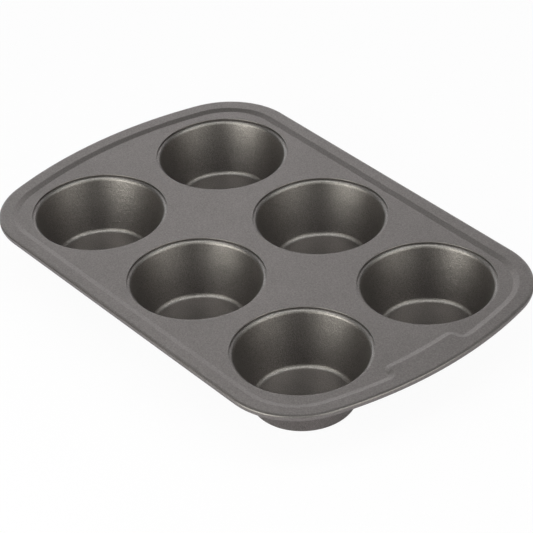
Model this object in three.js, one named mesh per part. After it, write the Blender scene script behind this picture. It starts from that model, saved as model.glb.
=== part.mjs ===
// A six-cup muffin pan: a pressed steel deck with a wired, rolled edge and six drawn steel cups
// hung under its holes by their flanges.
// Millimetres, +Z up. The pan stands on the floors of its cups at z = 0, centred on x = y = 0.
import * as THREE from 'three';

// Cup layout
const columnNames = ['left', 'middle', 'right'];
const rowNames = ['front', 'back'];
const holeDiameter = 72;
const landBetweenHoles = 11.8;
const facetsRound = 36;

// Deck sheet
const deckSheet = 0.9;
const holeEdgeRadius = 0.3;
const sideMargin = 3.55;
const endMargin = 10.25;
const stepWidth = 3.6;
const stepRise = 0.84;
const stepBlend = 0.1;
const stepBlendRise = 0.055;
const rimWidth = 5.8;
const endBowRadius = 226.5;
const cornerRadius = 39.5;
const cornerFacets = 9;
const halfEndFacets = 4;

// Raised pad at the right-hand end
const padDepth = 8;
const padWidth = 45;
const padStraightSide = 0.2;
const padCornerFacets = 4;
const padEdgeFacets = 3;

// Rolled edge and the wire in it
const wireDiameter = 0.8;
const wireClearance = 0.25;
const wireFacets = 6;
const wireButtGap = 1;
const curlMouthGap = 0.35;
const curlFacets = 10;

// Drawn cups
const cupSheet = 0.5;
const flangeSetBack = 0.3;
const mouthSetIn = 1.7;
const mouthBendRadius = 2.4;
const mouthBendFacets = 3;
const cupDepth = 29.6;
const floorDiameter = 52.2;
const floorFilletRadius = 3.4;
const floorFilletFacets = 3;

// Sizes that follow from the ones above
const pitch = holeDiameter + landBetweenHoles;
const holeRadius = holeDiameter / 2;
const gridHalfX = (columnNames.length - 1) * pitch / 2;
const gridHalfY = (rowNames.length - 1) * pitch / 2;
const deckTop = deckSheet + cupDepth + cupSheet;
const stepFromRoll = rimWidth + stepWidth / 2;
const rollRadius = wireDiameter / 2 + wireClearance + deckSheet;
const rollHalfX = gridHalfX + holeRadius + endMargin + stepWidth + rimWidth;
const rollHalfY = gridHalfY + holeRadius + sideMargin + stepWidth + rimWidth;
const rollHeight = deckTop + stepRise - rollRadius;
const rollInside = rollRadius - deckSheet;
const curlTurn = 1.5 * Math.PI + Math.asin((rollInside - curlMouthGap) / rollRadius);
const padCornerRadius = (padDepth - padStraightSide) / 2;
const flangeRadius = holeRadius + Math.min(sideMargin, landBetweenHoles / 2) - flangeSetBack;

// The outline follows the centre of the rolled edge: straight sides, bowed ends and round corners.
// Each sample is a point on an arc, so a line parallel to the outline keeps the same samples.
const bowCentreX = rollHalfX - endBowRadius;
const cornerCentreY = rollHalfY - cornerRadius;
const cornerReach = endBowRadius - cornerRadius;
const cornerCentreX = bowCentreX + Math.sqrt(cornerReach ** 2 - cornerCentreY ** 2);
const bowHalfAngle = Math.asin(cornerCentreY / cornerReach);

function arcSamples(x, y, radius, from, to, facets) {
  const samples = [];
  for (let i = 0; i <= facets; i += 1) {
    samples.push({ x, y, radius, angle: from + (to - from) * i / facets });
  }
  return samples;
}

function endSamples(side, middle) {
  const turn = side > 0 ? 0 : Math.PI;
  const quarter = Math.PI / 2;
  const centreX = side * cornerCentreX;
  const centreY = side * cornerCentreY;
  const first = arcSamples(
    centreX, -centreY, cornerRadius, turn - quarter, turn - bowHalfAngle, cornerFacets);
  const last = arcSamples(
    centreX, centreY, cornerRadius, turn + bowHalfAngle, turn + quarter, cornerFacets);
  return [...first, ...middle, ...last];
}

function plainEnd(side) {
  const turn = side > 0 ? 0 : Math.PI;
  const bow = arcSamples(
    side * bowCentreX, 0, endBowRadius, turn - bowHalfAngle, turn + bowHalfAngle, 2 * halfEndFacets);
  return bow.slice(1, -1);
}

// The pad pushes the step inwards: two rounded jogs with a bowed edge between them.
// Along is measured round the bowed end from its middle, inward towards the cups.
function padEnd() {
  const stepRadius = endBowRadius - stepFromRoll;
  const half = padWidth / 2;
  const quarter = Math.PI / 2;
  const jog = [];
  for (let i = 0; i <= padCornerFacets; i += 1) {
    const angle = quarter * i / padCornerFacets;
    jog.push({
      along: -half - padCornerRadius + padCornerRadius * Math.sin(angle),
      inward: padCornerRadius * (1 - Math.cos(angle)),
      normalAlong: -Math.sin(angle),
      normalInward: Math.cos(angle),
    });
  }
  for (let i = 0; i <= padCornerFacets; i += 1) {
    const angle = quarter * i / padCornerFacets;
    jog.push({
      along: -half + padCornerRadius * (1 - Math.cos(angle)),
      inward: padDepth - padCornerRadius + padCornerRadius * Math.sin(angle),
      normalAlong: -Math.cos(angle),
      normalInward: Math.sin(angle),
    });
  }
  const edge = [];
  const edgeHalf = half - padCornerRadius;
  for (let i = 1; i < padEdgeFacets; i += 1) {
    edge.push({
      along: -edgeHalf + 2 * edgeHalf * i / padEdgeFacets,
      inward: padDepth,
      normalAlong: 0,
      normalInward: 1,
    });
  }
  const mirrored = jog.map((point) => ({
    ...point, along: -point.along, normalAlong: -point.normalAlong,
  })).reverse();
  const pad = [...jog, ...edge, ...mirrored].map((point) => ({ ...point, stepRadius }));
  const padReach = (half + 2 * padCornerRadius) / stepRadius;
  const bow = plainEnd(1);
  const before = bow.filter((sample) => sample.angle < -padReach);
  const after = bow.filter((sample) => sample.angle > padReach);
  return [...before, ...pad, ...after];
}

const plainOutline = [...endSamples(1, plainEnd(1)), ...endSamples(-1, plainEnd(-1))];
const stepOutline = [...endSamples(1, padEnd()), ...endSamples(-1, plainEnd(-1))];

// Point of a sample on the line parallel to the outline, `inset` inside it.
function pointAt(sample, inset) {
  if (sample.stepRadius === undefined) {
    const radius = sample.radius - inset;
    return [sample.x + radius * Math.cos(sample.angle), sample.y + radius * Math.sin(sample.angle)];
  }
  const offset = inset - stepFromRoll;
  const along = sample.along + offset * sample.normalAlong;
  const radius = sample.stepRadius - sample.inward - offset * sample.normalInward;
  const angle = along / sample.stepRadius;
  return [bowCentreX + radius * Math.cos(angle), radius * Math.sin(angle)];
}

// A sheet is built from rings of points. Strips join rings of equal count, flats fill between
// rings in one level, and neighbouring faces share their points, so the skin closes.
class Sheet {
  constructor() {
    this.points = [];
    this.faces = [];
  }

  ring(flatPoints, z) {
    const first = this.points.length;
    for (const [x, y] of flatPoints) {
      this.points.push([x, y, z]);
    }
    return flatPoints.map((point, i) => first + i);
  }

  strip(outer, inner) {
    const count = outer.length;
    for (let i = 0; i < count; i += 1) {
      const next = (i + 1) % count;
      this.faces.push([outer[i], outer[next], inner[next]]);
      this.faces.push([outer[i], inner[next], inner[i]]);
    }
  }

  flat(outer, holes, up) {
    const flatten = (ring) => ring.map(
      (index) => new THREE.Vector2(this.points[index][0], this.points[index][1]));
    const all = [...outer, ...holes.flat()];
    for (const face of THREE.ShapeUtils.triangulateShape(flatten(outer), holes.map(flatten))) {
      const [a, b, c] = face.map((i) => all[i]);
      const [ax, ay] = this.points[a];
      const [bx, by] = this.points[b];
      const [cx, cy] = this.points[c];
      const anticlockwise = (bx - ax) * (cy - ay) - (by - ay) * (cx - ax) > 0;
      this.faces.push(anticlockwise === up ? [a, b, c] : [a, c, b]);
    }
  }

  fan(ring, up) {
    for (let i = 1; i < ring.length - 1; i += 1) {
      this.faces.push(up ? [ring[0], ring[i], ring[i + 1]] : [ring[0], ring[i + 1], ring[i]]);
    }
  }

  geometry() {
    const geometry = new THREE.BufferGeometry();
    const position = new THREE.Float32BufferAttribute(this.points.flat(), 3);
    geometry.setAttribute('position', position);
    geometry.setIndex(this.faces.flat());
    geometry.computeVertexNormals();
    return geometry;
  }
}

const cupCentres = [];
rowNames.forEach((rowName, row) => {
  columnNames.forEach((columnName, column) => {
    cupCentres.push({
      name: `cup_${rowName}_${columnName}`,
      x: column * pitch - gridHalfX,
      y: row * pitch - gridHalfY,
    });
  });
});

// Deck: one pressed sheet with a pierced hole over each cup, a step up to the rim and pad,
// and the edge rolled down round the wire.
function circlePoints(centre, radius) {
  const points = [];
  for (let i = 0; i < facetsRound; i += 1) {
    const angle = 2 * Math.PI * i / facetsRound;
    points.push([centre.x + radius * Math.sin(angle), centre.y - radius * Math.cos(angle)]);
  }
  return points;
}

function buildDeck() {
  const sheet = new Sheet();
  const deckUnder = deckTop - deckSheet;
  const topHoles = [];
  const underHoles = [];
  for (const centre of cupCentres) {
    const lip = sheet.ring(circlePoints(centre, holeRadius + holeEdgeRadius), deckTop);
    const wall = sheet.ring(circlePoints(centre, holeRadius), deckTop - holeEdgeRadius);
    const foot = sheet.ring(circlePoints(centre, holeRadius), deckUnder);
    sheet.strip(lip, wall);
    sheet.strip(wall, foot);
    topHoles.push(lip);
    underHoles.push(foot);
  }

  const stepProfile = [
    [1, 0],
    [1 - stepBlend, stepBlendRise],
    [stepBlend, 1 - stepBlendRise],
    [0, 1],
  ];
  const stepRings = (drop) => stepProfile.map(([across, rise]) => {
    const inset = rimWidth + across * stepWidth;
    const line = stepOutline.map((sample) => pointAt(sample, inset));
    return sheet.ring(line, deckTop + rise * stepRise - drop);
  });
  const topStep = stepRings(0);
  const underStep = stepRings(deckSheet);
  for (let i = 1; i < stepProfile.length; i += 1) {
    sheet.strip(topStep[i], topStep[i - 1]);
    sheet.strip(underStep[i - 1], underStep[i]);
  }
  sheet.flat(topStep[0], topHoles, true);
  sheet.flat(underStep[0], underHoles, false);

  const curlRings = (radius) => {
    const rings = [];
    for (let i = 0; i <= curlFacets; i += 1) {
      const angle = Math.PI / 2 - curlTurn * i / curlFacets;
      const line = plainOutline.map((sample) => pointAt(sample, -radius * Math.cos(angle)));
      rings.push(sheet.ring(line, rollHeight + radius * Math.sin(angle)));
    }
    return rings;
  };
  const outside = curlRings(rollRadius);
  const inside = curlRings(rollInside);
  for (let i = 1; i <= curlFacets; i += 1) {
    sheet.strip(outside[i], outside[i - 1]);
    sheet.strip(inside[i - 1], inside[i]);
  }
  sheet.strip(inside[curlFacets], outside[curlFacets]);
  sheet.flat(outside[0], [topStep.at(-1)], true);
  sheet.flat(inside[0], [underStep.at(-1)], false);
  return sheet.geometry();
}

// Rim wire: a round wire hoop lying in the roll, its two ends butted in the middle of the plain end.
function buildRimWire() {
  const sheet = new Sheet();
  const buttAngle = wireButtGap / 2 / endBowRadius;
  const leftBow = (from, to) => arcSamples(
    -bowCentreX, 0, endBowRadius, Math.PI + from, Math.PI + to, halfEndFacets);
  const leftCorners = endSamples(-1, []);
  const cornerCount = leftCorners.length / 2;
  const path = [
    ...leftBow(buttAngle, bowHalfAngle).slice(0, -1),
    ...leftCorners.slice(cornerCount),
    ...endSamples(1, plainEnd(1)),
    ...leftCorners.slice(0, cornerCount),
    ...leftBow(-bowHalfAngle, -buttAngle).slice(1),
  ];
  const rings = path.map((sample) => {
    const first = sheet.points.length;
    const ring = [];
    for (let i = 0; i < wireFacets; i += 1) {
      const angle = 2 * Math.PI * i / wireFacets;
      const [x, y] = pointAt(sample, -wireDiameter / 2 * Math.cos(angle));
      sheet.points.push([x, y, rollHeight + wireDiameter / 2 * Math.sin(angle)]);
      ring.push(first + i);
    }
    return ring;
  });
  for (let i = 1; i < rings.length; i += 1) {
    sheet.strip(rings[i], rings[i - 1]);
  }
  sheet.fan(rings[0], true);
  sheet.fan(rings.at(-1), false);
  return sheet.geometry();
}

// Cups: one drawn shell each, with a flat flange lapped under the deck, a rounded mouth,
// a tapered wall and a filleted floor.
function arcPoints(x, z, radius, from, to, facets) {
  const points = [];
  for (let i = 0; i <= facets; i += 1) {
    const angle = from + (to - from) * i / facets;
    points.push(new THREE.Vector2(x + radius * Math.cos(angle), z + radius * Math.sin(angle)));
  }
  return points;
}

function buildCup() {
  const flangeTop = cupSheet + cupDepth;
  const mouthRadius = holeRadius - mouthSetIn;
  const taper = Math.atan((mouthRadius - floorDiameter / 2) / cupDepth);
  const tangent = (1 - Math.sin(taper)) / Math.cos(taper);
  const bendX = mouthRadius + mouthBendRadius * tangent;
  const bendZ = flangeTop - mouthBendRadius;
  const filletX = floorDiameter / 2 - floorFilletRadius * tangent;
  const filletZ = cupSheet + floorFilletRadius;
  const down = -Math.PI / 2;
  const up = Math.PI / 2;
  const wallAngle = Math.PI - taper;
  const profile = [
    new THREE.Vector2(0, 0),
    ...arcPoints(filletX, filletZ, floorFilletRadius + cupSheet, down, -taper, floorFilletFacets),
    ...arcPoints(bendX, bendZ, mouthBendRadius - cupSheet, wallAngle, up, mouthBendFacets - 1),
    new THREE.Vector2(flangeRadius, flangeTop - cupSheet),
    new THREE.Vector2(flangeRadius, flangeTop),
    ...arcPoints(bendX, bendZ, mouthBendRadius, up, wallAngle, mouthBendFacets),
    ...arcPoints(filletX, filletZ, floorFilletRadius, -taper, down, floorFilletFacets),
    new THREE.Vector2(0, cupSheet),
  ];
  return new THREE.LatheGeometry(profile, facetsRound).rotateX(Math.PI / 2);
}

const coatedSteel = new THREE.MeshStandardMaterial({ color: 0x77736f, roughness: 0.42, metalness: 0.6 });
const wireSteel = new THREE.MeshStandardMaterial({ color: 0xa9abad, roughness: 0.35, metalness: 1 });

const pan = new THREE.Group();
pan.name = 'muffin_pan';

function place(name, geometry, material) {
  const mesh = new THREE.Mesh(geometry, material);
  mesh.name = name;
  pan.add(mesh);
  return mesh;
}

place('deck', buildDeck(), coatedSteel);
place('rim_wire', buildRimWire(), wireSteel);
for (const centre of cupCentres) {
  place(centre.name, buildCup(), coatedSteel).position.set(centre.x, centre.y, 0);
}

export default pan;
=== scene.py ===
import math

import bmesh
import bpy
from mathutils import Matrix, Vector
from mathutils.geometry import tessellate_polygon


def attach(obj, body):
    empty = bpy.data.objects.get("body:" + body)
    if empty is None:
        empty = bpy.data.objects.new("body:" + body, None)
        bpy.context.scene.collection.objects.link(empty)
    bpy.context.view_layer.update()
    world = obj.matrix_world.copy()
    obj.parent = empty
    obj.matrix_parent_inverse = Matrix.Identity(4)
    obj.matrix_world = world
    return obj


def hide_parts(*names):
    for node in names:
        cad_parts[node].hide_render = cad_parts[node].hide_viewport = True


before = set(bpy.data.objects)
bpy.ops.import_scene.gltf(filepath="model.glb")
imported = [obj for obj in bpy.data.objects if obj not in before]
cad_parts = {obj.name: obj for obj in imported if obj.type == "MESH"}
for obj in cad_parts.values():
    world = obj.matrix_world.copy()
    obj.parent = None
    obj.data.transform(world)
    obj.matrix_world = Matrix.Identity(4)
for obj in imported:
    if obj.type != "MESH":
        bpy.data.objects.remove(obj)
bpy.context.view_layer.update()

# Deck: the pressed top sheet that carries everything else, 0.9 mm steel with a baked-on coating.
# One stroke pierces the six cup holes and steps the border up to a flat rim with a pad at one end;
# the edge is then rolled down and back under itself round a wire.
mm = 0.001
quarter_turn = math.pi / 2
sharp_edge = math.radians(50)
cup_pitch = 83.8
cup_columns = (-cup_pitch, 0.0, cup_pitch)
cup_rows = (-cup_pitch / 2, cup_pitch / 2)
round_points = 144
deck_top = 31.0
deck_thickness = 0.9
flat_border = 0.5
hole_radius = 36.0
hole_edge_round = 0.3
hole_foot_round = 0.35
hole_edge_points = 5
step_width = 3.6
step_rise = 0.84
step_bend_share = 0.1
step_points = 20
rim_width = 5.8
end_bow_radius = 226.5
end_points = 30
corner_radius = 39.5
corner_points = 34
pad_depth = 8.0
pad_width = 45.0
pad_corner = 3.9
pad_corner_points = 12
pad_edge_points = 10
roll_half_length = 139.45
roll_half_width = 90.85
roll_radius = 1.55
roll_face = 1.38
roll_face_border = 0.12
roll_mouth_gap = 0.35
roll_bend_points = 10
brow_radius = 7.0
brow_turn = math.radians(12)
brow_border = 1.0
crease_radius = 0.65
sole_radius = 1.2

deck_underside = deck_top - deck_thickness
roll_height = deck_top + step_rise - roll_radius
roll_inside = roll_radius - deck_thickness
bow_centre = roll_half_length - end_bow_radius
corner_y = roll_half_width - corner_radius
corner_reach = end_bow_radius - corner_radius
corner_x = bow_centre + math.sqrt(corner_reach ** 2 - corner_y ** 2)
bow_half_angle = math.asin(corner_y / corner_reach)
step_middle = rim_width + step_width / 2
step_bow_radius = end_bow_radius - step_middle


def arc_stations(x, y, radius, start, stop, count):
    stations = []
    for i in range(count + 1):
        angle = start + (stop - start) * i / count
        stations.append((x, y, radius, angle))
    return stations


def pan_end(side, middle):
    turn = 0.0 if side > 0 else math.pi
    first = arc_stations(side * corner_x, -side * corner_y, corner_radius,
                         turn - quarter_turn, turn - bow_half_angle, corner_points)
    last = arc_stations(side * corner_x, side * corner_y, corner_radius,
                        turn + bow_half_angle, turn + quarter_turn, corner_points)
    return first + middle + last


def bowed_middle(side):
    turn = 0.0 if side > 0 else math.pi
    return arc_stations(side * bow_centre, 0.0, end_bow_radius,
                        turn - bow_half_angle, turn + bow_half_angle, end_points)[1:-1]


def pad_middle():
    half = pad_width / 2
    jog = []
    for i in range(pad_corner_points + 1):
        angle = quarter_turn * i / pad_corner_points
        jog.append((-half - pad_corner + pad_corner * math.sin(angle),
                    pad_corner * (1 - math.cos(angle)), -math.sin(angle), math.cos(angle)))
    for i in range(pad_corner_points + 1):
        angle = quarter_turn * i / pad_corner_points
        jog.append((-half + pad_corner * (1 - math.cos(angle)),
                    pad_depth - pad_corner + pad_corner * math.sin(angle),
                    -math.cos(angle), math.sin(angle)))
    edge_half = half - pad_corner
    edge = []
    for i in range(1, pad_edge_points):
        edge.append((-edge_half + 2 * edge_half * i / pad_edge_points, pad_depth, 0.0, 1.0))
    back = [(-along, inward, -n_along, n_inward) for along, inward, n_along, n_inward in reversed(jog)]
    reach = (half + 2 * pad_corner) / step_bow_radius
    bow = bowed_middle(1)
    before = [station for station in bow if station[3] < -reach]
    after = [station for station in bow if station[3] > reach]
    return before + [("pad",) + point for point in jog + edge + back] + after


def line_inside(stations, inset):
    line = []
    for station in stations:
        if station[0] == "pad":
            along, inward, n_along, n_inward = station[1:]
            offset = inset - step_middle
            radius = step_bow_radius - inward - offset * n_inward
            angle = (along + offset * n_along) / step_bow_radius
            line.append((bow_centre + radius * math.cos(angle), radius * math.sin(angle)))
        else:
            x, y, radius, angle = station
            line.append((x + (radius - inset) * math.cos(angle), y + (radius - inset) * math.sin(angle)))
    return line


def circle_line(x, y, radius):
    line = []
    for i in range(round_points):
        angle = 2 * math.pi * i / round_points
        line.append((x + radius * math.sin(angle), y - radius * math.cos(angle)))
    return line


def profile_arc(x, z, radius, start, stop, count):
    points = []
    for i in range(count + 1):
        angle = start + (stop - start) * i / count
        points.append((x + radius * math.cos(angle), z + radius * math.sin(angle)))
    return points


def step_height(across):
    if across < step_bend_share:
        rise = across ** 2 / (2 * step_bend_share)
    elif across > 1 - step_bend_share:
        rise = (1 - step_bend_share) - (1 - across) ** 2 / (2 * step_bend_share)
    else:
        rise = across - step_bend_share / 2
    return step_rise * rise / (1 - step_bend_share)


def lay_ring(mesh, line, height):
    return [mesh.verts.new((x * mm, y * mm, height * mm)) for x, y in line]


def join_rings(mesh, outer, inner):
    for i in range(len(outer)):
        j = (i + 1) % len(outer)
        mesh.faces.new((outer[i], outer[j], inner[j], inner[i]))


def spin_profile(mesh, x, y, profile):
    rings = [lay_ring(mesh, circle_line(x, y, radius), height) for radius, height in profile]
    for first, second in zip(rings, rings[1:]):
        join_rings(mesh, first, second)
    return rings


def fill_flat(mesh, outer, holes, upward):
    every = list(outer)
    for hole in holes:
        every += hole
    loops = [[vert.co for vert in loop] for loop in [outer] + holes]
    for triangle in tessellate_polygon(loops):
        a, b, c = (every[i] for i in triangle)
        turn = (b.co - a.co).cross(c.co - a.co).z
        mesh.faces.new((a, b, c) if (turn > 0) == upward else (a, c, b))


def finish_piece(name, mesh):
    bmesh.ops.recalc_face_normals(mesh, faces=mesh.faces)
    data = bpy.data.meshes.new(name)
    mesh.to_mesh(data)
    mesh.free()
    data.shade_smooth()
    data.set_sharp_from_angle(angle=sharp_edge)
    piece = bpy.data.objects.new(name, data)
    bpy.context.scene.collection.objects.link(piece)
    return piece


hole_edge_x = hole_radius + hole_edge_round
hole_foot_x = hole_radius + hole_foot_round
hole_profile = [(hole_edge_x + flat_border, deck_top)]
hole_profile += profile_arc(hole_edge_x, deck_top - hole_edge_round, hole_edge_round,
                            quarter_turn, math.pi, hole_edge_points)
hole_profile += profile_arc(hole_foot_x, deck_underside + hole_foot_round, hole_foot_round,
                            math.pi, math.pi + quarter_turn, hole_edge_points)
hole_profile += [(hole_foot_x + flat_border, deck_underside)]

# The roll's outside runs from the rim over a gentle brow and a tight crease, down a flat face and
# round the sole, and ends where the edge of the sheet has come up again under the rim.
roll_turn = math.pi + quarter_turn + math.asin((roll_inside - roll_mouth_gap) / roll_radius)
roll_tip_angle = quarter_turn - roll_turn
brow_angle = quarter_turn - brow_turn
crease_x = roll_face - crease_radius
brow_x = crease_x - (brow_radius - crease_radius) * math.cos(brow_angle)
brow_z = roll_radius - brow_radius
crease_z = brow_z + (brow_radius - crease_radius) * math.sin(brow_angle)
sole_x = roll_face - sole_radius
sole_z = sole_radius - roll_radius
roll_outer = profile_arc(brow_x, brow_z, brow_radius, quarter_turn, brow_angle, roll_bend_points)
roll_outer += profile_arc(crease_x, crease_z, crease_radius, brow_angle, 0.0, roll_bend_points)[1:]
roll_outer += [(roll_face, crease_z - roll_face_border), (roll_face, sole_z + roll_face_border)]
roll_outer += profile_arc(sole_x, sole_z, sole_radius, 0.0, -quarter_turn, roll_bend_points)
roll_outer += profile_arc(0.0, 0.0, roll_radius, -quarter_turn, roll_tip_angle, 2 * roll_bend_points)
roll_inner = profile_arc(0.0, 0.0, roll_inside, quarter_turn, roll_tip_angle, 4 * roll_bend_points)

plain_edge = pan_end(1, bowed_middle(1)) + pan_end(-1, bowed_middle(-1))
stepped_edge = pan_end(1, pad_middle()) + pan_end(-1, bowed_middle(-1))

deck_mesh = bmesh.new()
top_holes = []
under_holes = []
for row in cup_rows:
    for column in cup_columns:
        rings = spin_profile(deck_mesh, column, row, hole_profile)
        top_holes.append(rings[0])
        under_holes.append(rings[-1])

roll_tips = []
for level, upward, holes, roll_profile in ((deck_top, True, top_holes, roll_outer),
                                           (deck_underside, False, under_holes, roll_inner)):
    land_edge = line_inside(stepped_edge, rim_width + step_width + flat_border)
    ring = lay_ring(deck_mesh, land_edge, level)
    fill_flat(deck_mesh, ring, holes, upward)
    for i in range(step_points + 1):
        across = i / step_points
        line = line_inside(stepped_edge, rim_width + step_width * (1 - across))
        outer = lay_ring(deck_mesh, line, level + step_height(across))
        join_rings(deck_mesh, outer, ring)
        ring = outer
    rim_level = level + step_rise
    rim_border = lay_ring(deck_mesh, line_inside(stepped_edge, rim_width - flat_border), rim_level)
    join_rings(deck_mesh, rim_border, ring)
    ring = lay_ring(deck_mesh, line_inside(plain_edge, brow_border), rim_level)
    fill_flat(deck_mesh, ring, [rim_border], upward)
    for out, up in roll_profile:
        outer = lay_ring(deck_mesh, line_inside(plain_edge, -out), roll_height + up)
        join_rings(deck_mesh, outer, ring)
        ring = outer
    roll_tips.append(ring)
join_rings(deck_mesh, roll_tips[1], roll_tips[0])
deck = finish_piece("deck_sheet", deck_mesh)

coat_metal_share = 0.92
fleck_detail = 2.0
fleck_crispness = 0.6
cloud_scale = 45.0
cloud_detail = 3.0
cloud_share = 0.22
dark_fleck = 0.36
light_fleck = 0.86
dull_fleck = 0.3
bright_fleck = 0.7
peel_scale = 900.0
peel_detail = 1.0
peel_strength = 0.25
peel_height = 0.02
draw_ring_stretch = (10.0, 10.0, 450.0)
draw_ring_detail = 2.0


def metal_grain(tree, place, scale, detail):
    grain = tree.nodes.new("ShaderNodeTexNoise")
    grain.inputs["Scale"].default_value = scale
    grain.inputs["Detail"].default_value = detail
    tree.links.new(place, grain.inputs["Vector"])
    return grain


def tint_metal(tree, level, dark_at, dark, light_at, light):
    tone = tree.nodes.new("ShaderNodeValToRGB")
    ends = tone.color_ramp.elements
    ends[0].position = dark_at
    ends[0].color = (*dark, 1.0)
    ends[1].position = light_at
    ends[1].color = (*light, 1.0)
    tree.links.new(level, tone.inputs["Fac"])
    tree.links.new(tone.outputs["Color"], tree.nodes["Principled BSDF"].inputs["Base Color"])


def vary_gloss(tree, level, low, low_roughness, high, high_roughness):
    sheen = tree.nodes.new("ShaderNodeMapRange")
    sheen.inputs["From Min"].default_value = low
    sheen.inputs["From Max"].default_value = high
    sheen.inputs["To Min"].default_value = low_roughness
    sheen.inputs["To Max"].default_value = high_roughness
    tree.links.new(level, sheen.inputs["Value"])
    tree.links.new(sheen.outputs["Result"], tree.nodes["Principled BSDF"].inputs["Roughness"])


def raise_grain(tree, grain, height):
    bump = tree.nodes.new("ShaderNodeBump")
    bump.inputs["Distance"].default_value = height * mm
    tree.links.new(grain.outputs["Fac"], bump.inputs["Height"])
    return bump


def baked_coating(name, dark, light, roughness, sheen_spread, fleck_size, fleck_height, draw_height):
    coat = bpy.data.materials.new(name)
    coat.use_nodes = True
    tree = coat.node_tree
    shader = tree.nodes["Principled BSDF"]
    shader.inputs["Metallic"].default_value = coat_metal_share
    place = tree.nodes.new("ShaderNodeTexCoord").outputs["Object"]

    fleck = metal_grain(tree, place, 1 / (fleck_size * mm), fleck_detail)
    fleck.inputs["Roughness"].default_value = fleck_crispness
    cloud = metal_grain(tree, place, cloud_scale, cloud_detail)
    speckle = tree.nodes.new("ShaderNodeMath")
    speckle.operation = "MULTIPLY_ADD"
    speckle.inputs[1].default_value = cloud_share
    tree.links.new(cloud.outputs["Fac"], speckle.inputs[0])
    tree.links.new(fleck.outputs["Fac"], speckle.inputs[2])
    tint_metal(tree, speckle.outputs["Value"], dark_fleck, dark, light_fleck, light)
    vary_gloss(tree, fleck.outputs["Fac"], dull_fleck, roughness + sheen_spread,
               bright_fleck, roughness - sheen_spread)

    stretch = tree.nodes.new("ShaderNodeMapping")
    stretch.inputs["Scale"].default_value = draw_ring_stretch
    tree.links.new(place, stretch.inputs["Vector"])
    draw_rings = metal_grain(tree, stretch.outputs["Vector"], 1.0, draw_ring_detail)
    peel_bump = raise_grain(tree, metal_grain(tree, place, peel_scale, peel_detail), peel_height)
    peel_bump.inputs["Strength"].default_value = peel_strength
    draw_bump = raise_grain(tree, draw_rings, draw_height)
    fleck_bump = raise_grain(tree, fleck, fleck_height)
    tree.links.new(peel_bump.outputs["Normal"], draw_bump.inputs["Normal"])
    tree.links.new(draw_bump.outputs["Normal"], fleck_bump.inputs["Normal"])
    tree.links.new(fleck_bump.outputs["Normal"], shader.inputs["Normal"])
    return coat


deck_coat = baked_coating("deck_coating", dark=(0.1705, 0.157, 0.1545), light=(0.2605, 0.24, 0.2365),
                          roughness=0.41, sheen_spread=0.05,
                          fleck_size=0.7, fleck_height=0.016, draw_height=0.0)
deck.data.materials.append(deck_coat)
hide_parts("deck")
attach(deck, "root")

# Rim wire: a hoop of drawn steel wire, bare metal, laid in the rolled edge to keep the rim straight.
# Its ends are cut square and face each other, 1 mm apart, in the middle of the plain end, and only
# the roll holds it.
wire_radius = 0.4
wire_points = 20
wire_end_gap = 1.0
wire_dark = (0.33, 0.33, 0.335)
wire_light = (0.56, 0.56, 0.565)
wire_smoothest = 0.25
wire_roughest = 0.45
draw_mark_scale = 1400.0
draw_mark_detail = 3.0

wire_mesh = bmesh.new()
gap_angle = wire_end_gap / 2 / end_bow_radius
left_corners = pan_end(-1, [])
half_count = len(left_corners) // 2
wire_path = arc_stations(-bow_centre, 0.0, end_bow_radius, math.pi + gap_angle,
                         math.pi + bow_half_angle, end_points // 2)[:-1]
wire_path += left_corners[half_count:] + pan_end(1, bowed_middle(1)) + left_corners[:half_count]
wire_path += arc_stations(-bow_centre, 0.0, end_bow_radius, math.pi - bow_half_angle,
                          math.pi - gap_angle, end_points // 2)[1:]
strands = []
for i in range(wire_points):
    angle = 2 * math.pi * i / wire_points
    line = line_inside(wire_path, -wire_radius * math.cos(angle))
    strands.append(lay_ring(wire_mesh, line, roll_height + wire_radius * math.sin(angle)))
for i in range(wire_points):
    here = strands[i]
    there = strands[(i + 1) % wire_points]
    for j in range(len(wire_path) - 1):
        wire_mesh.faces.new((here[j], here[j + 1], there[j + 1], there[j]))
wire_mesh.faces.new([strand[0] for strand in strands])
wire_mesh.faces.new([strand[-1] for strand in reversed(strands)])
wire = finish_piece("rim_wire_hoop", wire_mesh)

wire_steel = bpy.data.materials.new("wire_steel")
wire_steel.use_nodes = True
tree = wire_steel.node_tree
tree.nodes["Principled BSDF"].inputs["Metallic"].default_value = 1.0
place = tree.nodes.new("ShaderNodeTexCoord").outputs["Object"]
draw_marks = metal_grain(tree, place, draw_mark_scale, draw_mark_detail).outputs["Fac"]
tint_metal(tree, draw_marks, 0.0, wire_dark, 1.0, wire_light)
vary_gloss(tree, draw_marks, 0.0, wire_smoothest, 1.0, wire_roughest)
wire.data.materials.append(wire_steel)
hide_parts("rim_wire")
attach(wire, "root")

# Cups: six shells deep-drawn from 0.5 mm steel, tapered so that cakes and stacked pans release.
# Each has a filleted floor to stand on, a rounded mouth and a flat flange that is spot welded under
# the deck, and is coated together with it.
cup_names = (("front_left", "front_middle", "front_right"), ("back_left", "back_middle", "back_right"))
cup_thickness = 0.5
cup_depth = 29.6
mouth_radius = 34.3
mouth_bend = 2.4
mouth_points = 12
wall_points = 10
floor_radius = 26.1
floor_fillet = 2.8
fillet_points = 14
flange_radius = 39.25
flange_edge_round = 0.12
flange_edge_points = 3

taper = math.atan((mouth_radius - floor_radius) / cup_depth)
tangent = (1 - math.sin(taper)) / math.cos(taper)
flange_top = cup_thickness + cup_depth
flange_underside = flange_top - cup_thickness
flange_edge_x = flange_radius - flange_edge_round
bend_x = mouth_radius + mouth_bend * tangent
bend_z = flange_top - mouth_bend
fillet_x = floor_radius - floor_fillet * tangent
fillet_z = cup_thickness + floor_fillet


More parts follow.
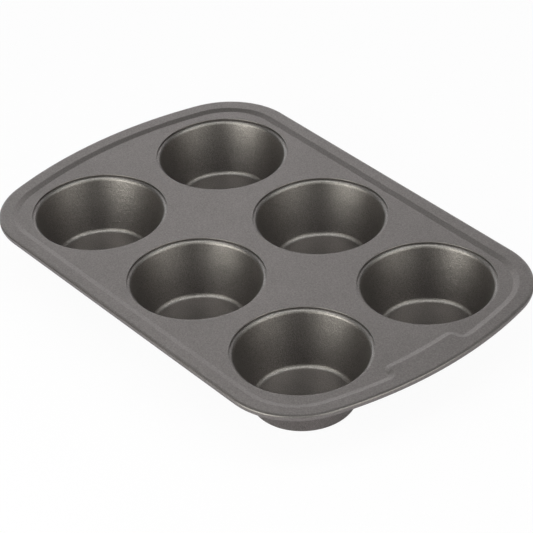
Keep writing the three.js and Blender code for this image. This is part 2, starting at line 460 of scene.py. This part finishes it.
def profile_line(first, last, count):
    points = []
    for i in range(1, count):
        share = i / count
        points.append((first[0] + (last[0] - first[0]) * share, first[1] + (last[1] - first[1]) * share))
    return points


outer_fillet = profile_arc(fillet_x, fillet_z, floor_fillet + cup_thickness, -quarter_turn, -taper,
                           fillet_points)
under_bend = profile_arc(bend_x, bend_z, mouth_bend - cup_thickness, math.pi - taper, quarter_turn,
                         mouth_points)
flange_edge = profile_arc(flange_edge_x, flange_underside + flange_edge_round, flange_edge_round,
                          -quarter_turn, 0.0, flange_edge_points)
flange_edge += profile_arc(flange_edge_x, flange_top - flange_edge_round, flange_edge_round,
                           0.0, quarter_turn, flange_edge_points)
mouth = profile_arc(bend_x, bend_z, mouth_bend, quarter_turn, math.pi - taper, mouth_points)
inner_fillet = profile_arc(fillet_x, fillet_z, floor_fillet, -taper, -quarter_turn, fillet_points)
flange_inside = bend_x + flat_border
flange_outside = flange_radius - flat_border
cup_profile = [(fillet_x / 2, 0.0), (fillet_x - flat_border, 0.0)]
cup_profile += outer_fillet + profile_line(outer_fillet[-1], under_bend[0], wall_points) + under_bend
cup_profile += [(flange_inside, flange_underside), (flange_outside, flange_underside)]
cup_profile += flange_edge
cup_profile += [(flange_outside, flange_top), (flange_inside, flange_top)]
cup_profile += mouth + profile_line(mouth[-1], inner_fillet[0], wall_points) + inner_fillet
cup_profile += [(fillet_x - flat_border, cup_thickness), (fillet_x / 2, cup_thickness)]

# Painted light: this is the deck's coating with its tones set about 6% lighter, which brightens the
# shaded hollows of the cups. The wider spread between dark and light flecks is the coating's own grain.
cup_coat_painted_lighter = baked_coating("cup_coating", dark=(0.138, 0.127, 0.125), light=(0.319, 0.294, 0.2895),
                         roughness=0.36, sheen_spread=0.06,
                         fleck_size=0.55, fleck_height=0.16, draw_height=0.05)
for row, names in zip(cup_rows, cup_names):
    for column, name in zip(cup_columns, names):
        cup_mesh = bmesh.new()
        rings = spin_profile(cup_mesh, column, row, cup_profile)
        for ring, height in ((rings[0], 0.0), (rings[-1], cup_thickness)):
            centre = cup_mesh.verts.new((column * mm, row * mm, height * mm))
            for i in range(round_points):
                cup_mesh.faces.new((ring[i], ring[(i + 1) % round_points], centre))
        cup = finish_piece("drawn_cup_" + name, cup_mesh)
        cup.data.materials.append(cup_coat_painted_lighter)
        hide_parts("cup_" + name)
        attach(cup, "root")

# Floor: a wide sheet of white paper just under the cups, which takes the pan's shadow.
# To the camera it is nearly pure white, and the metal mirrors a little of that white.
floor_half = 6.0
floor_drop = 0.1
floor_corners = ((-1, -1), (1, -1), (1, 1), (-1, 1))
paper_colour = (0.745, 0.72, 0.78)
paper_roughness = 0.9
white_for_camera = 0.95
white_in_mirrors = 0.1

floor_points = [(x * floor_half, y * floor_half, -floor_drop * mm) for x, y in floor_corners]
floor_data = bpy.data.meshes.new("floor")
floor_data.from_pydata(floor_points, [], [(0, 1, 2, 3)])
floor = bpy.data.objects.new("floor", floor_data)
bpy.context.scene.collection.objects.link(floor)
paper = bpy.data.materials.new("white_paper")
paper.use_nodes = True
nodes = paper.node_tree.nodes
links = paper.node_tree.links
sheet = nodes["Principled BSDF"]
sheet.inputs["Base Color"].default_value = (*paper_colour, 1.0)
sheet.inputs["Roughness"].default_value = paper_roughness
sheet.inputs["Specular IOR Level"].default_value = 0.0
glow = nodes.new("ShaderNodeEmission")
glow.inputs["Strength"].default_value = 1.0
ray = nodes.new("ShaderNodeLightPath")
mirrored = nodes.new("ShaderNodeMath")
mirrored.operation = "ADD"
links.new(ray.outputs["Is Glossy Ray"], mirrored.inputs[0])
links.new(ray.outputs["Is Transmission Ray"], mirrored.inputs[1])
mirrored_white = nodes.new("ShaderNodeMath")
mirrored_white.operation = "MULTIPLY"
mirrored_white.inputs[1].default_value = white_in_mirrors
links.new(mirrored.outputs["Value"], mirrored_white.inputs[0])
white_share = nodes.new("ShaderNodeMath")
white_share.operation = "MULTIPLY_ADD"
white_share.inputs[1].default_value = white_for_camera
links.new(ray.outputs["Is Camera Ray"], white_share.inputs[0])
links.new(mirrored_white.outputs["Value"], white_share.inputs[2])
whitened = nodes.new("ShaderNodeMixShader")
links.new(white_share.outputs["Value"], whitened.inputs["Fac"])
links.new(sheet.outputs["BSDF"], whitened.inputs[1])
links.new(glow.outputs["Emission"], whitened.inputs[2])
links.new(whitened.outputs["Shader"], nodes["Material Output"].inputs["Surface"])
floor_data.materials.append(paper)

# Camera: a long lens that looks down at one corner of the pan, with the pad to its right.
# It stands about 1.3 m away and leans a little to one side.
eye = Vector((0.85062, -0.65394, 0.77144))
aim = Vector((0.00468, 0.00024, 0.02015))
lean = math.radians(-3.128)
sensor_width = 36.0
focal_length = 168.7
farthest = 50.0

forward = (aim - eye).normalized()
level_right = forward.cross(Vector((0, 0, 1))).normalized()
level_up = level_right.cross(forward)
right = level_right * math.cos(lean) + level_up * math.sin(lean)
up = right.cross(forward)
lens = bpy.data.cameras.new("camera")
lens.sensor_width = sensor_width
lens.lens = focal_length
lens.clip_end = farthest
camera = bpy.data.objects.new("camera", lens)
camera.matrix_world = Matrix.Translation(eye) @ Matrix((right, up, -forward)).transposed().to_4x4()
bpy.context.scene.collection.objects.link(camera)
bpy.context.scene.camera = camera

# Light: soft panels, low ones at both sides and behind for the gleams in the cups, high ones for the
# deck. Each is placed by degrees round from the camera and up from the floor, with its distance and
# size in metres and its power in watts. The room shows white to the camera alone.
white = (1.0, 1.0, 1.0)
warm_white = (0.98, 1.0, 0.9)
soft_white = (0.96, 1.0, 0.945)
cool_white = (0.945, 1.0, 0.995)
room_light = 0.005

to_camera = Vector((eye.x, eye.y, 0)).normalized()
to_right = Vector((level_right.x, level_right.y, 0)).normalized()


def light_panel(name, degrees_round, degrees_up, distance, width, tall, watts, colour):
    turn = math.radians(degrees_round)
    rise = math.radians(degrees_up)
    flat = to_camera * math.cos(turn) + to_right * math.sin(turn)
    spot = flat * math.cos(rise) + Vector((0, 0, math.sin(rise)))
    data = bpy.data.lights.new(name, "AREA")
    data.shape = "RECTANGLE"
    data.size = width
    data.size_y = tall
    data.energy = watts
    data.color = colour
    panel = bpy.data.objects.new(name, data)
    panel.location = spot * distance
    panel.rotation_euler = (-spot).to_track_quat("-Z", "Y").to_euler()
    bpy.context.scene.collection.objects.link(panel)


light_panel("left_panel", -50.5, 20, 0.8, 0.57, 0.33, 4.11, warm_white)
light_panel("left_upper_panel", -50, 38, 0.8, 0.5, 0.25, 0.85, warm_white)
light_panel("right_panel", 49, 21, 1.3, 1.02, 0.64, 5.15, warm_white)
light_panel("right_upper_panel", 50, 40, 1.3, 0.9, 0.4, 1.5, warm_white)
light_panel("front_panel", 0, 62, 1.2, 0.5, 0.3, 0.15, soft_white)
light_panel("front_left_panel", -32, 58, 1.2, 0.4, 0.3, 0.87, soft_white)
light_panel("high_left_panel", -72, 62, 0.8, 0.3, 0.3, 0.74, soft_white)
light_panel("high_right_panel", 78, 54, 1.3, 0.45, 1.0, 3.62, soft_white)
light_panel("top_panel", 0, 80, 1.2, 1.1, 0.6, 4.04, soft_white)
light_panel("back_panel", 181, 39.5, 1.3, 0.27, 0.24, 0.30, white)
light_panel("back_low_panel", 180, 5, 2.4, 1.2, 0.42, 0.58, cool_white)
light_panel("back_middle_panel", 180, 16, 2.4, 1.2, 0.3, 3.21, white)
light_panel("back_upper_panel", 180, 36, 2.4, 1.0, 0.3, 1.72, white)
light_panel("back_left_low_panel", -150, 15, 2.4, 1.2, 0.42, 5.49, cool_white)
light_panel("back_left_middle_panel", -150, 26, 2.4, 1.2, 0.42, 1.56, white)
light_panel("back_left_upper_panel", -150, 39, 2.4, 1.0, 0.5, 1.57, white)
light_panel("back_right_middle_panel", 150, 26, 2.4, 1.2, 0.42, 4.38, white)

studio = bpy.data.worlds.new("studio")
bpy.context.scene.world = studio
studio.use_nodes = True
nodes = studio.node_tree.nodes
links = studio.node_tree.links
room = nodes["Background"]
room.inputs["Color"].default_value = (*white, 1.0)
room_ray = nodes.new("ShaderNodeLightPath")
room_level = nodes.new("ShaderNodeMath")
room_level.operation = "MULTIPLY_ADD"
room_level.inputs[1].default_value = 1 - room_light
room_level.inputs[2].default_value = room_light
links.new(room_ray.outputs["Is Camera Ray"], room_level.inputs[0])
links.new(room_level.outputs["Value"], room.inputs["Strength"])
bpy.context.scene.view_settings.view_transform = "Standard"
